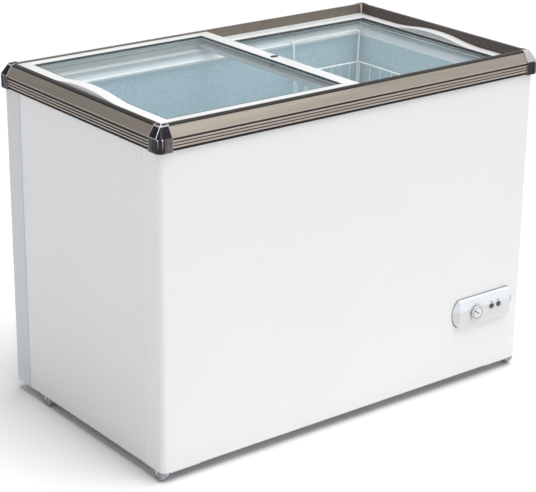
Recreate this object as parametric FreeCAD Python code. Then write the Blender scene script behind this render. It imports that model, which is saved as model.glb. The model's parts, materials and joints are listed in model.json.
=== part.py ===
"""Glass-top chest freezer with two sliding lids, for a shop floor.

Frame: origin on the floor under the middle of the cabinet, +X along the length
towards the compressor end, -Y the front with the control panel, +Z up.
All lengths are in millimetres.
"""
import math
import os

import FreeCAD
import Part

V = FreeCAD.Vector

# ---------------------------------------------------------------- driving sizes
overall_length = 1150.0      # over the rim, along X
overall_depth = 676.0        # over the rim, along Y
rim_top_height = 860.0       # floor to the top of the rim
ground_gap = 27.0            # floor to the underside of the cabinet

sheet = 0.8                  # steel skin and aluminium liner
floor_insulation = 60.0      # under the tank floor
corner_radius = 14.0         # vertical corners of the steel skin
return_width = 72.0          # front and rear skins fold this far round the sides
lap = 12.0                   # side panels run this far behind the folds
hem_width = 4.0
hem_height = 0.8

rim_overhang = 6.0           # rim stands out from the skin
rim_height = 57.0
fascia_height = 31.0         # ribbed, upright part of the rim
rim_slope_run = 15.0
rim_top_run = 12.0           # flat top, from the slope to the inner face
rim_wall = 3.0
rim_crown = 1.5              # the flat top rises this much inwards
rib_radius = 2.6
rib_pitch = 6.8
rib_foot = 7.6               # lowest rib's axis above the rim's lower edge
rib_count = 3
fascia_recess = 1.9          # ribs lie in a shallow channel
fascia_border = 2.3
cap_reach = 37.0             # corner cap, along each side
cap_proud = 2.0
cap_wall = 3.0
cap_radius = 12.0
flute_count = 5              # upright grooves round the cap's corner
flute_radius = 1.4
flute_depth = 0.9
flute_pitch = 4.4            # two more on each side of the corner
key_width = 3.0              # pale corner key that shows at the inner corner

track_drop = 26.0            # rim top to the outer track
track_step = 12.0            # outer track down to the inner track
outer_track_width = 17.0
inner_track_width = 29.0
collar_wall = 3.0
collar_skirt = 34.0          # inner track down to the end of the skirt
basket_ledge_drop = 22.0     # inner track down to the ledge that baskets hang on
basket_ledge_width = 9.0
ledge_thickness = 4.0

lid_gap = 2.0                # lid to rim
lower_lid_play = 2.0         # lower lid to the step beside its track
lid_frame_width = 32.0       # outer end of each lid
lid_rail_width = 28.0        # along the front and rear
lid_meeting_width = 37.0     # where the two lids meet
glass_thickness = 4.0
glass_bite = 8.0             # how far the pane goes into its frame
leg_width = 13.0             # upper lid's legs, standing on the outer track
lower_lid_thickness = 11.0
upper_lid_thickness = 9.5
lid_top_drop = 3.0           # rim top to the upper lid's face
slider_height = 0.8
slider_length = 40.0
slide_play = 0.3             # pads to track
handle_span = 350.0          # hump that serves as a handle at the outer end of each lid
handle_gap = 1.0             # lower lid's handle to the upper lid as it passes over
handle_width = 29.0
lid_overlap = 37.0           # the two lids cover each other in the middle
closing_edge = 20.0          # upper lid's closing edge, past the middle of the cabinet
hook_width = 4.0             # lip under the upper lid and upstand on the lower one
hook_gap = 2.0
lock_radius = 5.0
lock_rim = 1.5               # surround beyond the barrel
lock_surround_length = 21.0
lock_play = 0.1
lock_setback = 14.0          # lock barrel to the closing edge
lock_y = 6.0
cam_reach = 17.0
cam_width = 7.0
cam_thickness = 3.0
notch_width = 18.0

bay_insulation = 50.0
bay_side_room = 16.0         # compressor plate to the bay's ends
bay_head_room = 33.0         # compressor to the bay's roof

basket_length = 222.0
basket_height = 240.0
basket_end_gap = 14.0        # basket to the collar at the compressor end
basket_side_gap = 5.0        # basket to the ledge
basket_drop = 84.0           # hanger wire down to the basket's rim
basket_taper = 10.0          # the end walls lean in by this much
rim_wire = 2.5               # radii of the basket wires
mesh_wire = 1.6
mesh_pitch_long = 32.0
mesh_pitch_end = 46.0

wheel_radius = 21.0
wheel_width = 16.0
axle_radius = 4.0
axle_play = 0.05
front_wheel_room = 8.0       # front wheels to the front skin
rear_wheel_setback = 140.0
wheel_side_gap = 1.0         # wheel to the side panel
bracket_length = 106.0
bracket_width = 52.0
bracket_thickness = 4.0

panel_from_end = 138.0       # control panel's middle to the skin's end
panel_centre_z = 200.0
panel_face_width = 170.0
panel_end_bulge = 19.0
panel_height = 74.0
panel_depth = 14.0
panel_crease = 2.5
panel_shell = 2.5
knob_radius = 17.0
knob_height = 8.0
knob_offset = -33.0
knob_drop = 2.0
spindle_radius = 3.0
spindle_play = 0.1
lamp_radius = 7.0
lamp_offsets = {"alarm_lamp": 23.0, "power_lamp": 47.0}
lamp_rise = 1.5

grille_length = 250.0
grille_height = 150.0
grille_flange = 10.0
grille_proud = 2.0
slat_count = 9
slat_thickness = 3.0

compressor_radius = 78.0
compressor_height = 168.0
compressor_feet_height = 22.0
plate_margin = 17.0          # mounting plate beyond the shell, along X
feet_to_bracket = 36.0       # compressor feet to the rear roller's bracket
foot_radius = 12.0
foot_half_pitch = 48.0       # compressor feet, along Y
coil_radius = 4.0
coil_runs = 6

# ------------------------------------------------------------ sizes worked out
body_x = overall_length / 2 - rim_overhang      # half length of the steel skin
body_y = overall_depth / 2 - rim_overhang       # half depth of the steel skin
body_bottom = ground_gap
rim_bottom = rim_top_height - rim_height
fascia_top = rim_bottom + fascia_height
rim_inner = rim_slope_run + rim_top_run - rim_overhang   # skin to the rim's inner face
outer_track = rim_top_height - track_drop
inner_track = outer_track - track_step
skin_top = inner_track - collar_wall
step_edge = rim_inner + outer_track_width
collar_inner = step_edge + inner_track_width    # skin to the collar's inner face
liner_inner = collar_inner - collar_wall         # the liner stands behind the collar's skirt
tank_x = body_x - liner_inner
tank_y = body_y - liner_inner
tank_floor = body_bottom + sheet + floor_insulation
bay_length = 2 * (compressor_radius + plate_margin + bay_side_room)
bay_height = compressor_feet_height + compressor_height + bay_head_room
bay_left = body_x - sheet - bay_length
panel_centre_x = body_x - panel_from_end
rear_bracket_front = body_y - rear_wheel_setback - bracket_width / 2
compressor_y = rear_bracket_front - feet_to_bracket - foot_radius - foot_half_pitch
bay_top = body_bottom + sheet + bay_height
shelf_x = bay_left - bay_insulation             # upright of the step in the tank
shelf_z = bay_top + bay_insulation              # top of the step in the tank
ledge_z = inner_track - basket_ledge_drop

upper_top = rim_top_height - lid_top_drop
upper_under = upper_top - upper_lid_thickness
upper_y = body_y - rim_inner - lid_gap
upper_left = -(body_x - rim_inner - lid_gap)
upper_right = closing_edge
lower_under = inner_track + slide_play + slider_height
lower_top = lower_under + lower_lid_thickness
lower_y = body_y - step_edge - lower_lid_play
handle_rise = upper_under - lower_top - handle_gap
lower_left = upper_right - lid_overlap
lower_right = -upper_left
leg_foot = outer_track + slide_play + slider_height
lock_x = upper_right - lock_setback
hook_top = upper_under - 1.0
hook_foot = lower_top + 1.5


# ------------------------------------------------------------------- helpers
def block(x0, x1, y0, y1, z0, z1):
    """A box between two values on each axis, in either order."""
    (x0, x1), (y0, y1), (z0, z1) = sorted((x0, x1)), sorted((y0, y1)), sorted((z0, z1))
    return Part.makeBox(x1 - x0, y1 - y0, z1 - z0, V(x0, y0, z0))


def prism(points, along):
    """A closed outline of 3-D points, extruded by the vector `along`."""
    corners = [V(*p) for p in points]
    return Part.Face(Part.makePolygon(corners + corners[:1])).extrude(V(*along))


def rod(start, end, radius):
    """A round bar between two points."""
    a, b = V(*start), V(*end)
    return Part.makeCylinder(radius, (b - a).Length, a, b - a)


def upright_edges(shape):
    """The straight edges that run along Z."""
    found = []
    for edge in shape.Edges:
        a, b = edge.Vertexes[0].Point, edge.Vertexes[-1].Point
        if abs(a.x - b.x) < 1e-6 and abs(a.y - b.y) < 1e-6:
            found.append(edge)
    return found


def bent_tube(points, radius, bend):
    """A tube along straight runs joined by arcs of radius `bend`."""
    corners = [V(*p) for p in points]
    edges, start = [], corners[0]
    for before, corner, after in zip(corners, corners[1:], corners[2:]):
        one, two = (before - corner).normalize(), (after - corner).normalize()
        turn = math.pi - one.getAngle(two)
        cut = bend * math.tan(turn / 2)
        first, last = corner + one * cut, corner + two * cut
        middle = (one + two).normalize()
        centre = corner + middle * (bend / math.cos(turn / 2))
        edges.append(Part.LineSegment(start, first).toShape())
        edges.append(Part.Arc(first, centre - middle * bend, last).toShape())
        start = last
    edges.append(Part.LineSegment(start, corners[-1]).toShape())
    ring = Part.Wire([Part.Circle(corners[0], corners[1] - corners[0], radius).toShape()])
    return Part.Wire(edges).makePipeShell([ring], True, False)


def fused(shapes):
    """One shape made of several."""
    whole = shapes[0]
    for shape in shapes[1:]:
        whole = whole.fuse(shape)
    return whole.removeSplitter()


def mirrored(shape, axis):
    """A copy mirrored through the plane through the origin across `axis`."""
    return shape.mirror(V(0, 0, 0), V(1, 0, 0) if axis == "x" else V(0, 1, 0))


def side_rail(section, side, half_length):
    """A section of (inset, height) points, run along one side of the cabinet.

    The inset is measured inwards from the outer face of the steel skin.
    """
    if side in ("front", "rear"):
        sign = -1 if side == "front" else 1
        face = [(-half_length, sign * (body_y - u), z) for u, z in section]
        return prism(face, (2 * half_length, 0, 0))
    sign = -1 if side == "left" else 1
    face = [(sign * (body_x - u), -half_length, z) for u, z in section]
    return prism(face, (0, 2 * half_length, 0))


def save(name, shape):
    """Writes one sub-part and stops on a shape that isn't solid."""
    solids = shape.Solids
    if not solids or not all(s.isValid() and s.Volume > 0 for s in solids):
        raise RuntimeError(f"{name} is not a sound solid")
    whole = solids[0] if len(solids) == 1 else Part.makeCompound(solids)
    whole.exportStep(f"parts/{name}.step")
    print(name, len(solids), round(sum(s.Volume for s in solids) / 1000, 1), "cm3")


# ---------------------------------------------------------------- steel cabinet
def skin_ring():
    """The folded steel skin, all the way round, before it is split."""
    outer = block(-body_x, body_x, -body_y, body_y, body_bottom, skin_top)
    outer = outer.makeFillet(corner_radius, upright_edges(outer))
    x, y = body_x - sheet, body_y - sheet
    inner = block(-x, x, -y, y, body_bottom - 1, skin_top + 1)
    inner = inner.makeFillet(corner_radius - sheet, upright_edges(inner))
    return outer.cut(inner)


def folded_panel(sign):
    """Front (-1) or rear (+1) skin: a sheet that folds round both corners."""
    edge = body_y - return_width
    keep = block(-body_x - 1, body_x + 1, sign * edge, sign * (body_y + 1), 0, skin_top + 1)
    panel = skin_ring().common(keep)
    hems = []
    for end in (-1, 1):
        hems.append(block(end * (body_x - 0.2), end * (body_x + hem_height), sign * edge,
                          sign * (edge + hem_width), body_bottom, rim_bottom - 1))
    return fused([panel] + hems)


def side_panel(sign):
    """The flat sheet let in between the two folds."""
    reach = body_y - return_width + lap
    panel = block(sign * (body_x - 2 * sheet), sign * (body_x - sheet), -reach, reach,
                  body_bottom, skin_top)
    return panel.cut(grille_hole()) if sign > 0 else panel


def wheel_centres():
    """Where the four rollers turn, as (name, x sign, y)."""
    front, rear = -(body_y - wheel_radius - front_wheel_room), body_y - rear_wheel_setback
    return [("front_left", -1, front), ("front_right", 1, front),
            ("rear_left", -1, rear), ("rear_right", 1, rear)]


wheel_outer = body_x - 2 * sheet - wheel_side_gap   # outer face of every wheel
wheel_inner = wheel_outer - wheel_width
ear_outer = wheel_inner - 1.0
ear_inner = ear_outer - bracket_thickness


def wheel_wells():
    """Room above the base for the rollers."""
    wells = []
    for _, sign, y in wheel_centres():
        wells.append(block(sign * (ear_inner - 3), sign * (body_x - 2 * sheet), y - wheel_radius - 4,
                           y + wheel_radius + 4, 0, 2 * wheel_radius + 5))
    return wells


def base_panel():
    """Steel floor sheet with openings for the rollers."""
    x, y = body_x - 2 * sheet, body_y - sheet
    panel = block(-x, x, -y, y, body_bottom, body_bottom + sheet)
    panel = panel.makeFillet(corner_radius - sheet, upright_edges(panel))
    for well in wheel_wells():
        panel = panel.cut(well)
    return panel


def tank_outline(offset, top):
    """Side view of the tank with its step over the compressor, grown by `offset`."""
    floor, shelf = tank_floor + sheet - offset, shelf_z - offset
    left, step, right = -tank_x - offset, shelf_x + offset, tank_x + offset
    return [(left, floor), (step, floor), (step, shelf), (right, shelf), (right, top), (left, top)]


def tank_block(offset, top):
    """The tank as a solid, grown by `offset`."""
    half = tank_y + offset
    return prism([(x, -half, z) for x, z in tank_outline(offset, top)], (0, 2 * half, 0))


def tank_liner():
    """Open aluminium tub."""
    return tank_block(sheet, skin_top).cut(tank_block(0, skin_top + 10))


def evaporator_coil():
    """Serpentine tube on the outside of the tank's rear wall."""
    y = tank_y + sheet + coil_radius + 0.5
    return serpentine(-tank_x + 60, shelf_x - 40, tank_floor + 90, inner_track - 130, y)


def condenser_coil():
    """Serpentine tube on the inside of the front skin."""
    y = -(body_y - sheet - coil_radius - 0.5)
    return serpentine(-body_x + 80, bay_left - 70, body_bottom + 150, inner_track - 120, y)


def serpentine(x0, x1, z0, z1, y):
    """Level runs between x0 and x1, joined by U-bends."""
    pitch = (z1 - z0) / (coil_runs - 1)
    points = []
    for i in range(coil_runs):
        ends = (x0, x1) if i % 2 == 0 else (x1, x0)
        points += [(x, y, z0 + i * pitch) for x in ends]
    return bent_tube(points, coil_radius, pitch * 0.45)


def insulation_foam():
    """Foam between the skin and the tank, moulded round the coils."""
    x, y = body_x - 2 * sheet, body_y - sheet
    foam = block(-x, x, -y, y, body_bottom + sheet, skin_top)
    foam = foam.makeFillet(corner_radius, upright_edges(foam))
    foam = foam.cut(tank_block(sheet, skin_top + 10))
    foam = foam.cut(block(bay_left, body_x, -body_y, body_y, 0, bay_top))
    for well in wheel_wells():
        foam = foam.cut(well)
    return foam.cut(evaporator_coil()).cut(condenser_coil())


# ------------------------------------------------------------- collar and tracks
def collar_skirt_section():
    """Upright part of the collar inside the tank, with the ledge for baskets."""
    out, face = collar_inner - collar_wall, collar_inner
    lip = face + basket_ledge_width
    foot = inner_track - collar_skirt
    low = ledge_z - ledge_thickness
    return [(out, skin_top), (out, foot), (face, foot + 2), (face, low - 2), (lip - 2, low),
            (lip, low + 1), (lip, ledge_z), (face, ledge_z), (face, inner_track), (out, inner_track)]


def raised_track():
    """Section of the outer track, its riser and the inner track."""
    riser, under = step_edge - collar_wall, outer_track - collar_wall
    return [(rim_inner, outer_track), (step_edge, outer_track), (step_edge, inner_track),
            (collar_inner, inner_track), (collar_inner, skin_top), (riser, skin_top),
            (riser, under), (rim_inner, under)]


def long_track(side):
    """Front or rear track: raised outer track, lower inner track, skirt."""
    return fused([side_rail(raised_track(), side, body_x - rim_inner),
                  side_rail(collar_skirt_section(), side, body_x - collar_inner)])


def end_collar(side):
    """Collar at one end. The left one carries the raised track round the corner."""
    half = body_y - collar_inner
    if side == "left":
        floor = raised_track()
    else:
        floor = [(rim_inner, inner_track), (collar_inner, inner_track), (collar_inner, skin_top),
                 (rim_inner, skin_top)]
    out, face, foot = collar_inner - collar_wall, collar_inner, inner_track - collar_skirt
    skirt = [(out, skin_top), (face, skin_top), (face, foot + 2), (out, foot)]
    return fused([side_rail(floor, side, half), side_rail(skirt, side, half + collar_wall)])


# ------------------------------------------------------------------------- rim
def rim_section():
    """Rim profile: ribbed fascia, slope, flat top and an inner leg, with a web."""
    u0, u1 = -rim_overhang, -rim_overhang + rim_slope_run
    outer = [(u0, rim_bottom), (u0, fascia_top), (u1, rim_top_height - rim_crown),
             (rim_inner, rim_top_height)]
    skin = outer + [(rim_inner, skin_top), (rim_inner - rim_wall, skin_top),
                    (rim_inner - rim_wall, rim_top_height - rim_wall - rim_crown),
                    (u1 + 1, rim_top_height - rim_wall - rim_crown),
                    (u0 + rim_wall, fascia_top - 1), (u0 + rim_wall, rim_bottom)]
    return skin


def rim_web():
    """Shelf inside the profile that sits on the skin's top edge."""
    return [(-rim_overhang + rim_wall, skin_top), (rim_inner - rim_wall, skin_top),
            (rim_inner - rim_wall, skin_top + 2), (-rim_overhang + rim_wall, skin_top + 2)]


def rim_rail(side):
    """One mitred side of the rim with its ribs."""
    along_x = side in ("front", "rear")
    half = (overall_length if along_x else overall_depth) / 2
    rail = side_rail(rim_section(), side, half).fuse(side_rail(rim_web(), side, half))
    depth, low, high = fascia_recess, rim_bottom + fascia_border, fascia_top - fascia_border
    recess = [(-rim_overhang - 1, low), (-rim_overhang + depth, low), (-rim_overhang + depth, high),
              (-rim_overhang - 1, high)]
    rail = rail.cut(side_rail(recess, side, half + 1))
    for i in range(rib_count):
        z = rim_bottom + rib_foot + i * rib_pitch
        if along_x:
            sign = -1 if side == "front" else 1
            y = sign * (body_y + rim_overhang - depth)
            rail = rail.fuse(rod((-half, y, z), (half, y, z), rib_radius))
        else:
            sign = -1 if side == "left" else 1
            x = sign * (body_x + rim_overhang - depth)
            rail = rail.fuse(rod((x, -half, z), (x, half, z), rib_radius))
    x, y, reach = overall_length / 2 + 1, overall_depth / 2 + 1, 100.0
    if along_x:
        sign = -1 if side == "front" else 1
        mitre = [(-x, sign * y, 0), (x, sign * y, 0), (x - reach, sign * (y - reach), 0),
                 (-x + reach, sign * (y - reach), 0)]
    else:
        sign = -1 if side == "left" else 1
        mitre = [(sign * x, -y, 0), (sign * x, y, 0), (sign * (x - reach), y - reach, 0),
                 (sign * (x - reach), -y + reach, 0)]
    rail = rail.common(prism(mitre, (0, 0, 2 * rim_top_height)))
    for sx in (-1, 1):
        for sy in (-1, 1):
            rail = rail.cut(corner_room(sx, sy)).cut(corner_key(sx, sy))
    return rail.removeSplitter()


def corner_outline(inset, radius, reach, z):
    """Plan of a rounded corner region at one height, as a wire."""
    a, b, r = -body_x + inset, -body_y + inset, radius
    end_x, end_y = -body_x - rim_overhang + reach, -body_y - rim_overhang + reach
    bulge = r * (1 - math.sqrt(0.5))
    edges = [Part.LineSegment(V(a + r, b, z), V(end_x, b, z)),
             Part.LineSegment(V(end_x, b, z), V(end_x, end_y, z)),
             Part.LineSegment(V(end_x, end_y, z), V(a, end_y, z)),
             Part.LineSegment(V(a, end_y, z), V(a, b + r, z)),
             Part.Arc(V(a, b + r, z), V(a + bulge, b + bulge, z), V(a + r, b, z))]
    return Part.Wire([e.toShape() for e in edges])


def corner_envelope(grow, reach):
    """Solid under the rim's outer surface at the front left corner."""
    u0, u1 = -rim_overhang - grow, -rim_overhang + rim_slope_run - grow * 0.6
    foot = rim_bottom - (grow if grow > 0 else -grow - 1)
    levels = [(foot, u0, cap_radius + grow), (fascia_top + grow * 0.4, u0, cap_radius + grow),
              (rim_top_height - rim_crown + grow * 0.8, u1, cap_radius * 0.5 + grow),
              (rim_top_height + grow, rim_inner - rim_wall - 2, 2.0)]
    parts = []
    for low, high in zip(levels, levels[1:]):
        wires = [corner_outline(u, r, reach, z) for z, u, r in (low, high)]
        parts.append(Part.makeLoft(wires, True, True))
    return fused(parts)


def to_corner(shape, sx, sy):
    """Moves a front left shape to another corner."""
    if sx > 0:
        shape = mirrored(shape, "x")
    if sy > 0:
        shape = mirrored(shape, "y")
    return shape


def cap_flutes():
    """Grooves down the upright part of the front left cap."""
    cx, cy = -body_x - rim_overhang + cap_radius, -body_y - rim_overhang + cap_radius
    reach = cap_radius + cap_proud + flute_radius - flute_depth
    spots = []
    for i in range(flute_count):
        angle = math.pi * (1 + (i + 0.5) / flute_count / 2)
        spots.append((cx + reach * math.cos(angle), cy + reach * math.sin(angle)))
    for step in (flute_pitch / 2, flute_pitch * 3 / 2):
        spots += [(cx + step, cy - reach), (cx - reach, cy + step)]
    low, high = rim_bottom + 2 * flute_radius, fascia_top - 2 * flute_radius
    return [rod((x, y, low), (x, y, high), flute_radius) for x, y in spots]


def corner_cap(sx, sy):
    """Moulded cap over the mitre: a shell proud of the rim."""
    cap = corner_envelope(cap_proud, cap_reach).cut(corner_envelope(-cap_wall, cap_reach + 1))
    for flute in cap_flutes():
        cap = cap.cut(flute)
    inner = rim_inner - rim_wall - 2
    cap = cap.cut(block(-body_x + inner, 0, -body_y + inner, 0, 0, 2 * rim_top_height))
    return to_corner(cap, sx, sy)


def corner_room(sx, sy):
    """What a rail loses at a corner: the cap's shell and all outside it."""
    far = 20.0
    whole = block(-body_x - far, -body_x - rim_overhang + cap_reach, -body_y - far,
                  -body_y - rim_overhang + cap_reach, rim_bottom - far, rim_top_height + far)
    inner = rim_inner - rim_wall - 2
    core = corner_envelope(-cap_wall, cap_reach + 1)
    leg = block(-body_x + inner, 0, -body_y + inner, 0, 0, 2 * rim_top_height)
    return to_corner(whole.cut(core).cut(leg), sx, sy)


def corner_key(sx, sy):
    """Pale key that joins two rails at the inner corner."""
    a, b = body_x - rim_inner + rim_wall, body_y - rim_inner + rim_wall
    w = rim_wall + key_width
    key = block(-a, -a + w, -b, -b + w, outer_track, rim_top_height - 1)
    key = key.cut(block(-a + rim_wall, 0, -b + rim_wall, 0, 0, 2 * rim_top_height))
    return to_corner(key, sx, sy)


# ------------------------------------------------------------------------ lids
def handle_hump(x0, x1, base):
    """Grip along Y: the end of the frame swells up in a smooth hump of four equal arcs."""
    half, rise = handle_span / 2, handle_rise
    radius = ((half / 2) ** 2 + (rise / 2) ** 2) / rise
    part = half / 4
    sag = radius - math.sqrt(radius ** 2 - part ** 2)

    def point(y, z):
        return V(x0, y, base + z)

    foot_r, mid_r, top = point(-half, 0), point(-half / 2, rise / 2), point(0, rise)
    mid_l, foot_l = point(half / 2, rise / 2), point(half, 0)
    edges = [
        Part.Arc(foot_r, point(-half + part, sag), mid_r),
        Part.Arc(mid_r, point(-part, rise - sag), top),
        Part.Arc(top, point(part, rise - sag), mid_l),
        Part.Arc(mid_l, point(half - part, sag), foot_l),
        Part.LineSegment(foot_l, foot_r),
    ]
    face = Part.Face(Part.Wire([e.toShape() for e in edges]))
    return face.extrude(V(x1 - x0, 0, 0))


def glass_pane(clear_left, clear_right, half, under, top):
    """Pane let into its frame on all sides, seen between the two clear edges."""
    y = half - lid_rail_width + glass_bite
    z = (under + top) / 2 + 0.5
    return block(clear_left - glass_bite, clear_right + glass_bite, -y, y,
                 z - glass_thickness / 2, z + glass_thickness / 2)


def lock_hole():
    """Upright hole for the lock barrel."""
    return rod((lock_x, lock_y, 0), (lock_x, lock_y, 2 * upper_top), lock_radius + lock_play)


def upper_lid():
    """The lid on the outer tracks, which closes the left half."""
    left, right, half = upper_left, upper_right, upper_y
    clear_left, clear_right = left + lid_frame_width, right - lid_meeting_width
    glass = glass_pane(clear_left, clear_right, half, upper_under, upper_top)
    legs = [block(left, right, s * half, s * (half - leg_width), leg_foot, upper_under) for s in (-1, 1)]

    def ring(x0, x1):
        return fused([block(x0, x1, -half, half, upper_under, upper_top)]
                     + [leg.common(block(x0, x1, -half, half, 0, upper_top)) for leg in legs])

    skirt = block(left, left + leg_width, -half, half, leg_foot, upper_under)
    grip = handle_hump(left, left + handle_width, upper_top)
    end_left = fused([ring(left, clear_left), skirt, grip]).cut(glass)
    lip = block(right - hook_width, right, -lower_y, lower_y, hook_foot, upper_under)
    end_right = fused([ring(clear_right, right), lip]).cut(glass).cut(lock_hole())
    rails = []
    for s in (-1, 1):
        band = block(clear_left, clear_right, s * half, s * (half - lid_rail_width), 0, upper_top)
        rails.append(ring(clear_left, clear_right).common(band).cut(glass))
    pads = []
    for s in (-1, 1):
        for x in (left + 30, right - 30 - slider_length):
            pads.append(block(x, x + slider_length, s * (half - 2), s * (half - leg_width + 2),
                              outer_track + slide_play, leg_foot))
    return {"upper_lid_handle_end": end_left, "upper_lid_meeting_end": end_right,
            "upper_lid_front_rail": rails[0], "upper_lid_rear_rail": rails[1],
            "upper_lid_glass": glass, "upper_lid_sliders": Part.makeCompound(pads)}


def lower_lid():
    """The lid on the inner tracks, which closes the compressor half."""
    left, right, half = lower_left, lower_right, lower_y
    clear_left, clear_right = left + lid_meeting_width, right - lid_frame_width
    glass = glass_pane(clear_left, clear_right, half, lower_under, lower_top)
    grip = handle_hump(right - handle_width, right, lower_top)
    end_right = block(clear_right, right, -half, half, lower_under, lower_top)
    end_right = fused([end_right, grip]).cut(glass)
    hook_x = upper_right - hook_width - hook_gap
    upstand = block(hook_x - hook_width, hook_x, -half + 10, half - 10, lower_top, hook_top)
    notch = block(hook_x - 2 * hook_width, hook_x + hook_gap, lock_y - notch_width / 2,
                  lock_y + notch_width / 2, lower_top, hook_top)
    end_left = block(left, clear_left, -half, half, lower_under, lower_top)
    end_left = fused([end_left, upstand.cut(notch)]).cut(glass)
    rails = []
    for s in (-1, 1):
        rail = block(clear_left, clear_right, s * half, s * (half - lid_rail_width), lower_under, lower_top)
        rails.append(rail.cut(glass))
    pads = []
    for s in (-1, 1):
        for x in (left + 30, right - 30 - slider_length):
            pads.append(block(x, x + slider_length, s * (half - 3), s * (half - 15),
                              inner_track + slide_play, lower_under))
    return {"lower_lid_handle_end": end_right, "lower_lid_meeting_end": end_left,
            "lower_lid_front_rail": rails[0], "lower_lid_rear_rail": rails[1],
            "lower_lid_glass": glass, "lower_lid_sliders": Part.makeCompound(pads)}


def lid_lock():
    """Cylinder lock on the upper lid's meeting end: an oval surround and a barrel with its cam."""
    r, plate_top = lock_radius + lock_rim, upper_top + 1.6
    reach = lock_surround_length / 2 - r
    plate = block(lock_x - reach, lock_x + reach, lock_y - r, lock_y + r, upper_top, plate_top)
    for x in (lock_x - reach, lock_x + reach):
        plate = plate.fuse(rod((x, lock_y, upper_top), (x, lock_y, plate_top), r))
    plate = plate.removeSplitter().cut(lock_hole())
    cam_z = hook_foot + 1.0
    barrel = rod((lock_x, lock_y, cam_z), (lock_x, lock_y, plate_top + 0.8), lock_radius)
    slot = block(lock_x - 3, lock_x + 3, lock_y - 0.8, lock_y + 0.8, plate_top - 3, plate_top + 1)
    cam = block(lock_x - cam_reach, lock_x, lock_y - cam_width / 2, lock_y + cam_width / 2,
                cam_z, cam_z + cam_thickness)
    return {"lock_surround": plate, "lock_barrel": fused([barrel.cut(slot), cam])}


# ---------------------------------------------------------------------- basket
def wire_wall(corners, count, at):
    """A flat grille: two rim wires and the mesh wires between them.

    `corners` holds the ends of the lower and of the upper rim wire, and `at`
    turns (along, height) into a point.
    """
    (low0, low1, bottom), (top0, top1, top) = corners
    wires = [rod(at(low0, bottom), at(low1, bottom), rim_wire), rod(at(top0, top), at(top1, top), rim_wire)]
    for i in range(count + 1):
        part = (i + 0.04) / (count + 0.08)
        foot, head = low0 + (low1 - low0) * part, top0 + (top1 - top0) * part
        wires.append(rod(at(foot, bottom), at(head, top), mesh_wire))
    return fused(wires)


def basket():
    """Wire basket that hangs by two hoops from the collar's ledges."""
    x1 = body_x - collar_inner - basket_end_gap
    x0 = x1 - basket_length
    hang_y = body_y - collar_inner - basket_ledge_width / 2
    hoop_y = body_y - collar_inner - basket_ledge_width - basket_side_gap
    wall_y = hoop_y - 2 * rim_wire
    end_y = wall_y - rim_wire
    hang_z = ledge_z + rim_wire + slide_play
    top = hang_z - basket_drop
    bottom = top - basket_height
    lean = basket_taper * basket_drop / basket_height
    low0, low1 = x0 + basket_taper, x1 - basket_taper
    along_x, along_y = round(basket_length / mesh_pitch_long), round(2 * end_y / mesh_pitch_end)

    hoops, sides, ends = [], [], []
    for s in (-1, 1):
        out, over = s * hoop_y, s * hang_y
        path = [(low0, out, bottom), (x0 - lean, out, hang_z), (x0 - lean, over, hang_z),
                (x1 + lean, over, hang_z), (x1 + lean, out, hang_z), (low1, out, bottom)]
        hoops.append(bent_tube(path, rim_wire, rim_wire * 1.3))
        corners = [(low0, low1, bottom), (x0, x1, top)]
        sides.append(wire_wall(corners, along_x, lambda x, z, y=s * wall_y: (x, y, z)))
    for top_x, low_x in ((x0, low0), (x1, low1)):
        corners = [(-end_y, end_y, bottom), (-end_y, end_y, top)]
        lift = {top: top_x, bottom: low_x}
        ends.append(wire_wall(corners, along_y, lambda y, z, at=lift: (at[z], y, z)))
    wires = []
    for i in range(1, along_y):
        wire_y = -end_y + 2 * end_y * i / along_y
        wires.append(rod((low0 + rim_wire, wire_y, bottom), (low1 - rim_wire, wire_y, bottom), mesh_wire))
    for i in range(1, 4):
        x, z = low0 + (low1 - low0) * i / 4, bottom - 1.6 * mesh_wire
        wires.append(rod((x, -end_y, z), (x, end_y, z), mesh_wire))
    return {"basket_hangers": Part.makeCompound(hoops), "basket_side_walls": Part.makeCompound(sides),
            "basket_end_walls": Part.makeCompound(ends), "basket_floor": fused(wires)}


# --------------------------------------------------------------------- rollers
def roller(sign, y):
    """One roller: bracket under the cabinet, wheel and axle."""
    def across(start, end, radius):
        return rod((sign * start, y, wheel_radius), (sign * end, y, wheel_radius), radius)

    plate_z = body_bottom - bracket_thickness
    far = wheel_outer - bracket_length
    plate = block(sign * ear_inner, sign * far, y - bracket_width / 2, y + bracket_width / 2,
                  plate_z, body_bottom)
    ear = block(sign * ear_outer, sign * ear_inner, y - bracket_width / 2 + 8, y + bracket_width / 2 - 8,
                wheel_radius - 9, body_bottom + 14)
    bracket = plate.fuse(ear).removeSplitter().cut(across(ear_inner - 5, body_x, axle_radius))
    wheel = across(wheel_inner, wheel_outer, wheel_radius)
    rim_edges = [e for e in wheel.Edges if len(e.Vertexes) == 1 and e.Length > 100]
    wheel = wheel.makeFillet(2.0, rim_edges)
    dish = across(wheel_outer - 2.5, body_x, wheel_radius - 5)
    boss = across(wheel_outer - 4, wheel_outer - 1, 7.5)
    bore = across(wheel_inner - 1, body_x, axle_radius + axle_play)
    wheel = wheel.cut(dish).fuse(boss).cut(bore).removeSplitter()
    axle = fused([across(ear_inner, wheel_outer - 0.6, axle_radius),
                  across(wheel_outer - 0.6, wheel_outer + 0.7, 6.0)])
    screws = []
    for x in (far + 14, far + 50):
        for dy in (-16, 16):
            screws.append(rod((sign * x, y + dy, plate_z - 2.5), (sign * x, y + dy, plate_z), 5.5))
    return bracket, wheel, axle, screws


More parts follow.
